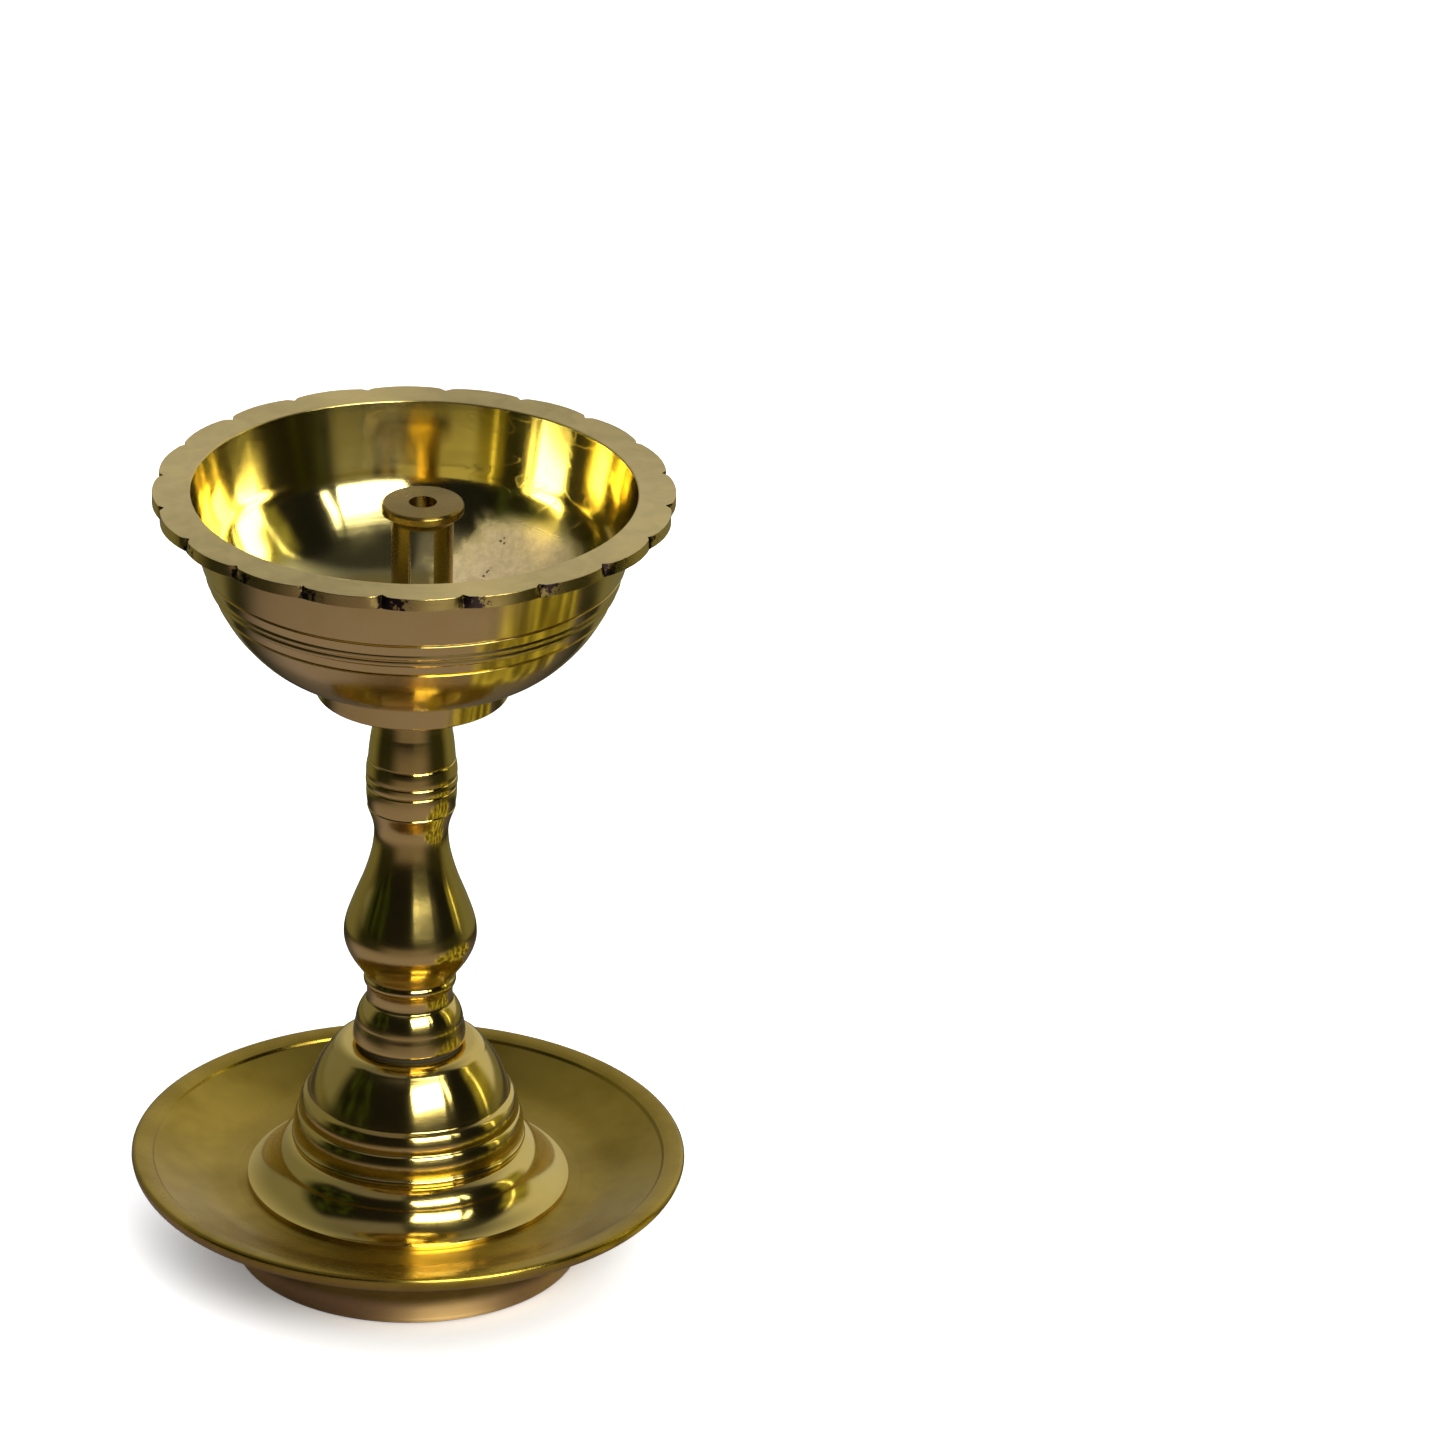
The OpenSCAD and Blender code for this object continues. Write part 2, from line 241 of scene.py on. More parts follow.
def floor_reflection(tree):
    """The floor as the brass sees it, in painted light and shade: lighter and coloured near the lamp,
    dark further off and at the sides, olive behind, with a banded yellow patch that paints the
    reflection of the lamp's twin."""
    spot = coordinate(tree, "Object")
    x, y, _ = split(tree, spot)
    far = measure(tree, "LENGTH", spot)
    aside = calc(tree, "ABSOLUTE", azimuth_of(tree, x, y))
    front = mix(tree, smoothstep(tree, far, 0.09, 0.21), colour(0.15, 0.125, 0.19),
                colour(0.090, 0.072, 0.090))
    front = mix(tree, smoothstep(tree, far, 0.30, 0.80), front, colour(0.005, 0.004, 0.004))
    side = mix(tree, smoothstep(tree, far, 0.06, 0.16), colour(0.07, 0.06, 0.06),
               colour(0.012, 0.012, 0.008))
    near = smoothstep(tree, far, 0.20, 0.13)
    turned = minus(tree, aside, times(tree, near, 75))
    seen = mix(tree, smoothstep(tree, turned, 22, 62), front, side)
    seen = mix(tree, smoothstep(tree, turned, 84, 118), seen, colour(0.10, 0.095, 0.055))
    # painted reflection of the lamp's twin: a banded yellow patch
    bands = noise(tree, spot, 55.0, 2.0, 0.7)
    yellow = mix(tree, smoothstep(tree, bands, 0.50, 0.62), colour(0.035, 0.028, 0.004),
                 colour(0.50, 0.44, 0.10))
    twin_reflection_mask = smoothstep(tree, measure(tree, "DISTANCE", spot, TWIN_REFLECTION_SPOT), 0.075, 0.055)
    return mix(tree, twin_reflection_mask, seen, yellow)


def make_floor():
    mesh = bpy.data.meshes.new("floor")
    half = FLOOR_SIZE / 2
    mesh.from_pydata([(-half, -half, 0), (half, -half, 0), (half, half, 0), (-half, half, 0)], [],
                     [(0, 1, 2, 3)])
    floor = bpy.data.objects.new("floor", mesh)
    bpy.context.scene.collection.objects.link(floor)
    material, tree, shader = new_material("floor_paper")
    tree.links.new(for_camera(tree, floor_reflection(tree), FLOOR_WHITE), shader.inputs["Base Color"])
    tree.links.new(for_camera(tree, BLACK, WHITE), shader.inputs["Emission Color"])
    shader.inputs["Emission Strength"].default_value = FLOOR_GLOW
    shader.inputs["Roughness"].default_value = 1.0
    shader.inputs["Specular IOR Level"].default_value = 0.0
    mesh.materials.append(material)


def room_in_front(tree, azimuth, elevation):
    """A dark room with a dim ceiling, and greenery outside a door at the left."""
    ceiling = mix(tree, smoothstep(tree, azimuth, -10, 4), colour(0.15, 0.14, 0.17),
                  colour(0.03, 0.03, 0.035))
    leaves = noise(tree, combine(tree, times(tree, azimuth, 0.09), times(tree, elevation, 0.05), 0.0), 1.0)
    greenery = mix(tree, smoothstep(tree, leaves, 0.42, 0.68), colour(0.008, 0.008, 0.005),
                   colour(0.032, 0.046, 0.010))
    is_green = times(tree, smoothstep(tree, azimuth, -38, -50), smoothstep(tree, elevation, 46, 34))
    room = mix(tree, is_green, colour(0.009, 0.009, 0.010), greenery)
    return mix(tree, smoothstep(tree, elevation, 44, 58), room, ceiling)


def room_behind(tree, x, elevation):
    """A backdrop, dim at the left, pale at the back and the right, and fading above."""
    to_left = smoothstep(tree, times(tree, x, -1.0), -0.35, 0.75)
    backdrop = mix(tree, to_left, colour(0.56, 0.55, 0.57), colour(0.19, 0.185, 0.16))
    return mix(tree, smoothstep(tree, elevation, 34, 70), backdrop, colour(0.13, 0.13, 0.15))


def with_twin(tree, seen, azimuth, elevation):
    """Adds the lamp's twin at the right: a yellow shade with a bright broken line along it."""
    broken = noise(tree, combine(tree, 0.0, 0.0, times(tree, elevation, 0.30)), 1.0, 2.0, 0.7)
    shade = mix(tree, smoothstep(tree, broken, 0.4, 0.6), colour(0.10, 0.09, 0.02),
                colour(0.42, 0.38, 0.10))
    is_shade = times(tree, smoothstep(tree, azimuth, 84, 92), smoothstep(tree, azimuth, 124, 112))
    is_shade = times(tree, is_shade, smoothstep(tree, elevation, 40, 26))
    seen = mix(tree, is_shade, seen, shade)
    off_line = calc(tree, "ABSOLUTE", minus(tree, azimuth, TWIN_EDGE))
    is_line = times(tree, smoothstep(tree, off_line, 2.2, 1.0), smoothstep(tree, broken, 0.42, 0.52))
    is_line = times(tree, is_line, smoothstep(tree, elevation, 44, 30))
    return mix(tree, is_line, seen, colour(2.6, 2.4, 1.2))


def room_reflection(tree):
    """The surroundings as the brass sees them, by azimuth and elevation in degrees."""
    x, y, z = split(tree, coordinate(tree, "Generated"))
    azimuth = azimuth_of(tree, x, y)
    elevation = times(tree, calc(tree, "ARCSINE", z), DEGREES)
    edge = minus(tree, calc(tree, "ABSOLUTE", azimuth), smoothstep(tree, azimuth, 60, 90, 0.0, 12.0))
    seen = mix(tree, smoothstep(tree, edge, 82, 102), room_in_front(tree, azimuth, elevation),
               room_behind(tree, x, elevation))
    return with_twin(tree, seen, azimuth, elevation)


def make_world():
    world = bpy.data.worlds.new("studio")
    bpy.context.scene.world = world
    world.use_nodes = True
    tree = world.node_tree
    tree.nodes.clear()
    light = add(tree, "ShaderNodeBackground", {"Color": for_camera(tree, room_reflection(tree), WHITE)})
    tree.links.new(light.outputs[0], add(tree, "ShaderNodeOutputWorld").inputs[0])


def make_studio():
    make_window("window", WINDOW_AZIMUTH, WINDOW_SIZE, WINDOW_POWER, WINDOW_TINT)
    make_window("side_pane", PANE_AZIMUTH, PANE_SIZE, PANE_POWER, PANE_TINT)
    make_fill()
    make_floor()
    make_world()
    bpy.context.scene.view_settings.view_transform = "Standard"


# ---- outlines ----
SAME = 4e-6           # points nearer than this are one point
CREASE = math.radians(25)
CORNER = 0.12 * MM    # size of the small radius on each turned corner
STEP = 0.4 * MM       # spacing of points along a curve
STRAIGHT_STEP = 6 * STEP


def outline(node, keep=lambda r: True):
    """The chains of (radius, height) points that a turned node's mesh shows in half section."""
    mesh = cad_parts[node].data
    places = np.empty(len(mesh.vertices) * 3)
    mesh.vertices.foreach_get("co", places)
    places = places.reshape(-1, 3)
    flat = np.column_stack((np.hypot(places[:, 0], places[:, 1]), places[:, 2]))
    label = np.full(len(flat), -1)
    points = []
    while (label < 0).any():
        near = np.abs(flat - flat[np.argmax(label < 0)]).max(axis=1) < SAME
        label[near] = len(points)
        points.append(flat[near].mean(axis=0))
    ends = np.empty(len(mesh.edges) * 2, int)
    mesh.edges.foreach_get("vertices", ends)
    links = {tuple(sorted(pair)) for pair in label[ends.reshape(-1, 2)]}
    beside = {i: set() for i, p in enumerate(points) if keep(p[0])}
    for a, b in links:
        if a != b and a in beside and b in beside:
            beside[a].add(b)
            beside[b].add(a)
    chains = []
    while beside:
        loose = [i for i in beside if len(beside[i]) < 2]
        here = min(loose or beside, key=lambda i: (points[i][1], points[i][0]))
        chain = []
        while here is not None:
            chain.append(here)
            after = [i for i in beside.pop(here) if i in beside]
            here = min(after, key=lambda i: (points[i][1], -points[i][0])) if after else None
        chains.append(np.array([points[i] for i in chain]))
    return chains


def area_of(points):
    """Signed area of a closed outline: negative where the metal lies to the left of the way."""
    after = np.roll(points, -1, axis=0)
    return 0.5 * float((points[:, 0] * after[:, 1] - after[:, 0] * points[:, 1]).sum())


def unit(v):
    return v / max(float(np.hypot(*v)), 1e-12)


def angle_between(a, b):
    return math.acos(max(-1.0, min(1.0, float(a @ b))))


def smoothed(points, closed):
    """Points and directions along a smooth curve through an outline, with each corner rounded."""
    if closed:
        ways = [unit(b - a) for a, b in zip(points, np.roll(points, -1, axis=0))]
        turns = [angle_between(ways[i - 1], ways[i]) for i in range(len(points))]
        first = int(np.argmax(turns))
        points = np.vstack((np.roll(points, -first, axis=0), points[first]))
    gaps = np.diff(points, axis=0)
    sizes = np.hypot(gaps[:, 0], gaps[:, 1])
    ways = gaps / sizes[:, None]
    knots = []      # (point, direction), where None between two knots marks a rounded corner
    last = len(points) - 1
    for i, p in enumerate(points):
        at_end = i in (0, last)
        if at_end and not closed:
            knots.append((p, ways[0 if i == 0 else -1]))
            continue
        before, after = (last - 1, 0) if at_end else (i - 1, i)
        if angle_between(ways[before], ways[after]) < CREASE:
            knots.append((p, unit(ways[before] * sizes[before] + ways[after] * sizes[after])))
            continue
        cut = min(CORNER, 0.3 * sizes[before], 0.3 * sizes[after])
        if i != 0:
            knots.append((p - cut * ways[before], ways[before]))
        if i != last:
            if i != 0:
                knots.append(("corner", p))
            knots.append((p + cut * ways[after], ways[after]))
        elif closed:
            knots.append(("corner", p))
            knots.append(knots[0])
    found, slopes = [knots[0][0]], [knots[0][1]]
    i = 0
    while i < len(knots) - 1:
        a = knots[i]
        if isinstance(knots[i + 1][0], str):
            b, corner = knots[i + 2], knots[i + 1][1]
            for t in (0.2, 0.4, 0.6, 0.8, 1.0):
                found.append((1 - t) ** 2 * a[0] + 2 * t * (1 - t) * corner + t * t * b[0])
                slopes.append(unit((1 - t) * (corner - a[0]) + t * (b[0] - corner)))
            i += 2
            continue
        b = knots[i + 1]
        length = float(np.hypot(*(b[0] - a[0])))
        ahead = unit(b[0] - a[0])
        straight = min(float(a[1] @ ahead), float(b[1] @ ahead)) > 0.99995
        pieces = max(1 if straight else 2, math.ceil(length / (STRAIGHT_STEP if straight else STEP)))
        for k in range(1, pieces + 1):
            t = k / pieces
            found.append((2 * t ** 3 - 3 * t * t + 1) * a[0] + (t ** 3 - 2 * t * t + t) * length * a[1]
                         + (3 * t * t - 2 * t ** 3) * b[0] + (t ** 3 - t * t) * length * b[1])
            slopes.append(unit((6 * t * t - 6 * t) * (a[0] - b[0]) + (3 * t * t - 4 * t + 1) * length * a[1]
                               + (3 * t * t - 2 * t) * length * b[1]))
        i += 1
    return np.array(found), np.array(slopes)


def turned_curve(node):
    """The smooth outline of a node that is one solid of revolution, metal to its left."""
    points = outline(node)[0]
    closed = points[:, 0].min() > SAME
    if area_of(points) < 0:
        points = points[::-1]
    return smoothed(points, closed)


# ---- lathe ----
def even_angles(count):
    return np.arange(count) * TAU / count


def lathe(name, curve, closed, angles=even_angles(256), swell=None, finish=None, stain=None):
    """A solid turned from a curve. swell(r, z, angles) gives the radius at each angle, finish the
    polish from 0 to 1 of a point and its outward normal, and stain the dirt from 0 to 1."""
    places, slopes = curve
    if closed:
        places, slopes = places[:-1], slopes[:-1]
    around = len(angles)
    spread = (np.roll(angles, -1) - np.roll(angles, 1)) % TAU
    along = np.concatenate(([0.0], np.cumsum(np.hypot(*np.diff(places, axis=0).T))))
    rows, count, co, normals, lengths, shine, dirt = [], 0, [], [], [], [], []
    for i, ((r, z), (dr, dz)) in enumerate(zip(places, slopes)):
        if r < SAME:
            rows.append(np.full(around, count))
            co.append([[0.0, 0.0, z]])
            normals.append([[0.0, 0.0, -1.0 if dr > 0 else 1.0]])
            count += 1
            lengths.append([along[i]])
            shine.append([finish(r, z, dz, -dr) if finish else 0.0])
            dirt.append([0.0])
            continue
        radii = np.full(around, r) if swell is None else swell(r, z, angles)
        ahead = (np.roll(radii, -1) - np.roll(radii, 1)) / spread
        rows.append(np.arange(around) + count)
        cos, sin = np.cos(angles), np.sin(angles)
        co.append(np.column_stack((radii * cos, radii * sin, np.full(around, z))))
        round_way = np.column_stack((ahead * cos - radii * sin, ahead * sin + radii * cos,
                                     np.zeros(around)))
        up_way = np.column_stack((dr * cos, dr * sin, np.full(around, dz)))
        normals.append(np.cross(round_way, up_way))
        count += around
        lengths.append(np.full(around, along[i]))
        shine.append(np.full(around, finish(r, z, dz, -dr) if finish else 0.0))
        dirt.append(stain(r, z, dz, angles) if stain else np.zeros(around))
    faces = []
    pairs = list(zip(rows, rows[1:] + rows[:1])) if closed else list(zip(rows, rows[1:]))
    for low, high in pairs:
        low_next, high_next = np.roll(low, -1), np.roll(high, -1)
        if low[0] == low[1]:
            faces += list(zip(low, high_next, high))
        elif high[0] == high[1]:
            faces += list(zip(low, low_next, high))
        else:
            faces += list(zip(low, low_next, high_next, high))
    mesh = bpy.data.meshes.new(name)
    mesh.from_pydata(np.vstack(co).tolist(), [], [[int(v) for v in face] for face in faces])
    mesh.shade_smooth()
    directions = np.vstack(normals)
    directions /= np.linalg.norm(directions, axis=1)[:, None]
    mesh.normals_split_custom_set_from_vertices(directions.tolist())
    store(mesh, "along", np.concatenate(lengths))
    store(mesh, "polish", np.concatenate(shine))
    store(mesh, "stain", np.concatenate(dirt))
    thing = bpy.data.objects.new(name, mesh)
    bpy.context.scene.collection.objects.link(thing)
    return thing


def store(mesh, name, values):
    mesh.attributes.new(name, "FLOAT", "POINT").data.foreach_set("value", np.asarray(values, np.float32))


def place(thing, body, slot, material, *nodes):
    """Gives a piece its material, its body and the CAD nodes that it stands for."""
    thing.data.materials.clear()
    thing.data.materials.append(material)
    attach(thing, body)
    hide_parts(*nodes)


# ---- materials ----
DIRT = colour(0.05, 0.032, 0.028)
FOOT_EDGE = (0.0290, 0.0278)       # radii between which the tray's underside ends and its foot begins
WORN_SPOT = (0.0135, 0.0165, 0.0)  # middle of the dull patch in the bowl


def surface(tree):
    """What the brass reads of a point: its place, its way, its distance along the outline in
    millimetres, its polish from 0 to 1, and noises at four scales."""
    spot = coordinate(tree, "Object")
    x, y, z = split(tree, spot)
    flat = combine(tree, x, y, 0.0)
    reach = add(tree, "ShaderNodeVectorMath", {0: flat}, operation="NORMALIZE").outputs[0]
    around_x, around_y, _ = split(tree, reach)
    _, _, up = split(tree, coordinate(tree, "Normal"))
    along = times(tree, attribute(tree, "along"), 1 / MM)
    # long round the axis, fine along the outline
    turned = combine(tree, times(tree, around_x, 0.6), times(tree, around_y, 0.6), along)
    return SimpleNamespace(spot=spot, x=x, y=y, z=z, flat=flat, up=up, turned=turned,
                           polish=attribute(tree, "polish"), blotch=noise(tree, spot, 70.0, 3.0, 0.6),
                           smear=noise(tree, spot, 260.0, 2.0, 0.6, 0.6),
                           crumb=noise(tree, spot, 900.0, 4.0, 0.7),
                           grain=noise(tree, spot, 3800.0, 2.0, 0.6))


def turning_lines(tree, at, rough, mirror_rough):
    """The roughness and the height of a turned surface."""
    fine = noise(tree, at.turned, 4.2, 3.0, 0.7)
    chatter = noise(tree, at.turned, 0.9, 1.0, 0.4)
    dull = minus(tree, 1.0, at.polish)
    wear = plus(tree, swing(tree, at.smear, 0.10), swing(tree, fine, 0.12))
    roughness = plus(tree, smoothstep(tree, at.polish, 0.0, 1.0, rough, mirror_rough),
                     times(tree, wear, smoothstep(tree, at.polish, 0.0, 1.0, 1.0, 0.45)))
    height = plus(tree, times(tree, fine, plus(tree, 0.25, times(tree, dull, 0.75))),
                  times(tree, chatter, 0.5))
    return roughness, plus(tree, height, times(tree, at.grain, times(tree, dull, 0.5)))


def paint_top_sheen(tree, at, look, tint):
    """Paints the dull faces that look up paler and mottled: a painted sheen of light from above."""
    top_sheen_mask = times(tree, smoothstep(tree, at.up, 0.6, 0.9), smoothstep(tree, at.polish, 0.3, 0.2))
    top_sheen_paint = mix(tree, smoothstep(tree, at.smear, 0.3, 0.7), colour(*tint),
                  colour(*[0.9 * v for v in tint]))
    look.paint = mix(tree, top_sheen_mask, look.paint, top_sheen_paint)


def paint_foot_light(tree, at, look, tint):
    """Paints the tray's foot side lighter, as painted light reflected off the floor, and makes it rougher.
    """
    lit_foot_mask = times(tree, smoothstep(tree, at.up, 0.3, 0.1),
                    smoothstep(tree, measure(tree, "LENGTH", at.flat), *FOOT_EDGE))
    look.paint = mix(tree, lit_foot_mask, look.paint, colour(*tint))
    look.roughness = plus(tree, look.roughness, times(tree, lit_foot_mask, 0.24))


def burn(tree, at, look):
    """Adds the burnt dirt that the "stain" of the mesh asks for, with ragged edges."""
    dirt = attribute(tree, "stain")
    ragged = plus(tree, dirt, swing(tree, at.crumb, 3.0))
    burnt = times(tree, smoothstep(tree, ragged, 0.36, 0.80), smoothstep(tree, dirt, 0.04, 0.35))
    look.paint = mix(tree, burnt, look.paint, DIRT)
    look.roughness = plus(tree, look.roughness, times(tree, burnt, 0.15))


def wear_inside(tree, shader, at, look):
    """Makes the bowl's wall paler, and its bottom dull in one patch with a few groups of pits."""
    look.paint = mix(tree, smoothstep(tree, at.polish, 0.80, 0.95), look.paint, colour(0.86, 0.73, 0.27))
    within = times(tree, smoothstep(tree, at.up, 0.35, 0.6), smoothstep(tree, at.polish, 0.47, 0.54))
    within = times(tree, within, smoothstep(tree, at.z, 0.1165, 0.1120))
    edge = plus(tree, measure(tree, "DISTANCE", at.flat, WORN_SPOT), swing(tree, at.smear, 0.006))
    edge = plus(tree, edge, swing(tree, at.blotch, 0.012))
    patch = times(tree, within, smoothstep(tree, edge, 0.0145, 0.0075))
    worn = mix(tree, smoothstep(tree, at.crumb, 0.3, 0.7), colour(0.66, 0.53, 0.30),
               colour(0.50, 0.40, 0.22))
    look.paint = mix(tree, patch, look.paint, worn)
    tree.links.new(smoothstep(tree, patch, 0.0, 1.0, 1.0, 0.5), shader.inputs["Metallic"])
    look.roughness = plus(tree, look.roughness, times(tree, patch, 0.30))
    pits = times(tree, smoothstep(tree, cells(tree, at.spot, 190.0, 0.8), 0.26, 0.18),
                 smoothstep(tree, cells(tree, at.spot, 1300.0, 1.0), 0.36, 0.22))
    pits = times(tree, pits, patch)
    look.paint = mix(tree, pits, look.paint, colour(0.10, 0.07, 0.03))
    look.height = minus(tree, look.height, times(tree, pits, 4.0))


def scratch_wall(tree, at, look):
    """Adds fine curved scratches high on the right of the bowl's wall."""
    long_way = combine(tree, times(tree, at.x, 0.45), times(tree, at.y, 0.45), at.z)
    bent = calc(tree, "ABSOLUTE", minus(tree, noise(tree, long_way, 300.0, 1.0, 0.5, 0.5), 0.5))
    scratch = times(tree, smoothstep(tree, bent, 0.008, 0.002), times(
        tree, smoothstep(tree, at.up, 0.55, 0.4), smoothstep(tree, at.polish, 0.9, 0.98)))
    scratch = times(tree, scratch, smoothstep(tree, at.x, 0.002, 0.012))
    look.roughness = plus(tree, look.roughness, times(tree, scratch, 0.14))
    look.height = minus(tree, look.height, times(tree, scratch, 0.35))


def brass(name, light, deep, rough, mirror_rough, grooves, top=None, side=None, inside=False):
    """Turned brass. Its vertices' "polish" takes the roughness from rough to mirror_rough. top is the
    colour of a painted sheen on dull faces that look up, side the colour of painted light on the
    tray's foot, and inside adds a bowl's wear."""
    material, tree, shader = new_material(name)
    at = surface(tree)
    look = SimpleNamespace(paint=mix(tree, smoothstep(tree, at.blotch, 0.35, 0.75), colour(*light),
                                     colour(*deep)))
    look.roughness, look.height = turning_lines(tree, at, rough, mirror_rough)
    shader.inputs["Metallic"].default_value = 1.0
    # painted sheen: a paler colour on the dull faces that look up
    if top:
        paint_top_sheen(tree, at, look, top)
    # painted light: a lighter colour on the side of the tray's foot
    if side:
        paint_foot_light(tree, at, look, side)
    burn(tree, at, look)
    if inside:
        wear_inside(tree, shader, at, look)
        scratch_wall(tree, at, look)
    look.roughness = calc(tree, "MAXIMUM", look.roughness, 0.03)
    finish_surface(tree, shader, look, grooves)
    # turned metal smears what it reflects across its turning lines
    shader.inputs["Anisotropic"].default_value = 0.85
    shader.inputs["Anisotropic Rotation"].default_value = 0.25
    tree.links.new(add(tree, "ShaderNodeTangent", direction_type="RADIAL", axis="Z").outputs[0],
                   shader.inputs["Tangent"])
    return material


def rubber(name):
    material, tree, shader = new_material(name)
    grain = noise(tree, coordinate(tree, "Object"), 2500.0, 3.0, 0.6)
    look = SimpleNamespace(paint=mix(tree, grain, colour(0.010, 0.009, 0.008), colour(0.035, 0.031, 0.027)),
                           roughness=smoothstep(tree, grain, 0.2, 0.8, 0.55, 0.8), height=grain)
    finish_surface(tree, shader, look, 0.01 * MM)
    return material


def zinc(name):
    material, tree, shader = new_material(name)
    spot = coordinate(tree, "Object")
    patch = noise(tree, spot, 420.0, 3.0, 0.6)
    paint = mix(tree, smoothstep(tree, patch, 0.35, 0.7), colour(0.62, 0.62, 0.60),
                colour(0.46, 0.47, 0.49))
    look = SimpleNamespace(paint=paint, roughness=smoothstep(tree, patch, 0.2, 0.8, 0.24, 0.42),
                           height=noise(tree, spot, 3200.0, 2.0, 0.6))
    finish_surface(tree, shader, look, 0.004 * MM)
    shader.inputs["Metallic"].default_value = 1.0
    return material


# ---- pieces ----
def make_turned(name, node, body, slot, material, finish=None, around=256):
    """A solid of revolution in place of a CAD node, with that many points round its axis."""
    curve = turned_curve(node)
    closed = bool(curve[0][:, 0].min() > SAME)
    thing = lathe(name, curve, closed, angles=even_angles(around), finish=finish)
    place(thing, body, slot, material, node)


def blend(value, low, high):
    """0 below low, 1 above high, smooth between."""
    t = np.clip((value - low) / (high - low), 0, 1)
    return t * t * (3 - 2 * t)


def tray_finish(r, z, nr, nz):
    """Dull all over, brighter towards the lip and less so on its band."""
    if nz < 0.1:
        return 0.25
    return 0.15 + 0.5 * blend(r, 29 * MM, 33 * MM) - 0.25 * blend(r, 39.6 * MM, 40.2 * MM)


def full_polish(r, z, nr, nz):
    return 1.0


# ---- bowl ----
LOBES = 20
LOBE_PITCH = TAU / LOBES
LOBE_TURN = math.radians(4)
RIM_PART = 37.2 * MM          # everything on the bowl beyond this radius belongs to the lobes
RIM_ROOT = 36 * MM            # radius from which the rim swells into its lobes
HOLLOW = 0.7 * MM             # depth of the hollow between two lobes
CUT = 1.3 * MM                # depth of the notch filed into it, at the rim's top
CUT_LEAN = math.tan(math.radians(17))   # how much shallower it gets on the way down
CUT_SIDE = math.tan(math.radians(50))   # half width of the notch over its depth
# how far past a notch the points along a lobe lie, closest where the notch is
LOBE_STEPS = np.radians([0.2, 0.6, 1.3, 2.4, 4.1, 6.4])


def from_notch(angles):
    """The number of the nearest notch, and how far each angle lies past it."""
    turn = (angles - LOBE_TURN + TAU / 4) / LOBE_PITCH - 0.5
    return np.round(turn).astype(int) % LOBES, (turn - np.round(turn)) * LOBE_PITCH


def by_notch(number, salt):
    """A fixed value from -1 to 1 for each notch, so that no two are alike."""
    return np.sin(number * 12.9898 + salt * 78.233) * np.cos(number * 4.1414 + salt * 37.719)


def make_bowl(material):
    places = np.array([v.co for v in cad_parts["bowl"].data.vertices])
    rim_r = float(np.hypot(places[:, 0], places[:, 1]).max())
    outer, inner = sorted(outline("bowl", lambda r: r < RIM_PART), key=lambda c: c[0][1])[:2]
    top, under = float(inner[-1][1]), float(outer[-1][1])
    rim = [(rim_r, under), (rim_r, top)]
    points = np.vstack(([(0.0, outer[0][1])] if outer[0][0] > SAME else np.empty((0, 2)), outer, rim,
                        inner[::-1], [(0.0, inner[0][1])] if inner[0][0] > SAME else np.empty((0, 2))))
    half = (rim_r - HOLLOW) * math.sin(LOBE_PITCH / 2)
    rise = rim_r - (rim_r - HOLLOW) * math.cos(LOBE_PITCH / 2)
    lobe_r = (half * half + rise * rise) / (2 * rise)
    middle = rim_r - lobe_r

    def edge_at(z, angles):
        """The radius of the scalloped edge: round lobes, with a leaning V notch between them."""
        number, past = from_notch(angles)
        to_crest = np.abs(past) - LOBE_PITCH / 2
        lobe = middle * np.cos(to_crest) + np.sqrt(lobe_r ** 2 - (middle * np.sin(to_crest)) ** 2)
        deep = CUT * (1 + 0.22 * by_notch(number, 1)) - max(0.0, top - z) * CUT_LEAN
        side = CUT_SIDE * (1 + 0.2 * by_notch(number, 2))
        return np.minimum(lobe, rim_r - deep + np.abs(past) * rim_r / side)

    def swell(r, z, angles):
        if r <= RIM_ROOT:
            return np.full(len(angles), r)
        return RIM_ROOT + (r - RIM_ROOT) * (edge_at(z, angles) - RIM_ROOT) / (rim_r - RIM_ROOT)

    def finish(r, z, nr, nz):
        if nz > 0.5 and z > top - 1 * MM:
            return 0.12
        if z > inner[0][1] - 0.1 * MM and (nr < 0 or nz > 0.9) and r < 34.6 * MM:
            return 0.55 + 0.45 * blend(r, 17 * MM, 24 * MM)
        return 0.74 if nr > 0 and r < 37 * MM else 0.45

    def stain(r, z, nr, angles):
        if r < rim_r - 2 * MM or nr < 0.3:
            return np.zeros(len(angles))
        number, past = from_notch(angles)
        near = np.exp(-(past / math.radians(0.9)) ** 2)
        smear = blend(past, 0, math.radians(0.6)) * np.clip(1 - past / math.radians(8.5), 0, 1)
        faces_front = blend(-np.sin(angles), 0.0, 0.6)
        return np.maximum(0.9 * near, smear * (0.45 + 0.5 * faces_front + 0.45 * by_notch(number, 3)))

    steps = np.concatenate((-LOBE_STEPS[::-1], [0.0], LOBE_STEPS))
    angles = np.concatenate([LOBE_TURN - TAU / 4 + (k + 0.5) * LOBE_PITCH + np.append(steps, LOBE_PITCH / 2)
                             for k in range(LOBES)])
    thing = lathe("bowl_turned", smoothed(points, False), False, angles=angles, swell=swell,
                  finish=finish, stain=stain)
    place(thing, "bowl", "cast_brass", material, "bowl")


# ---- wick holder ----
CAP_R = 6.4 * MM
CAP_T = 1.7 * MM
TUBE_R = 4.75 * MM
CHANNEL_R = 2.6 * MM
WICK_R = 2.15 * MM
SLOT_W = 3.8 * MM
HOLDER_FOOT_T = 2 * MM
HOLDER_BEVEL = 0.13 * MM


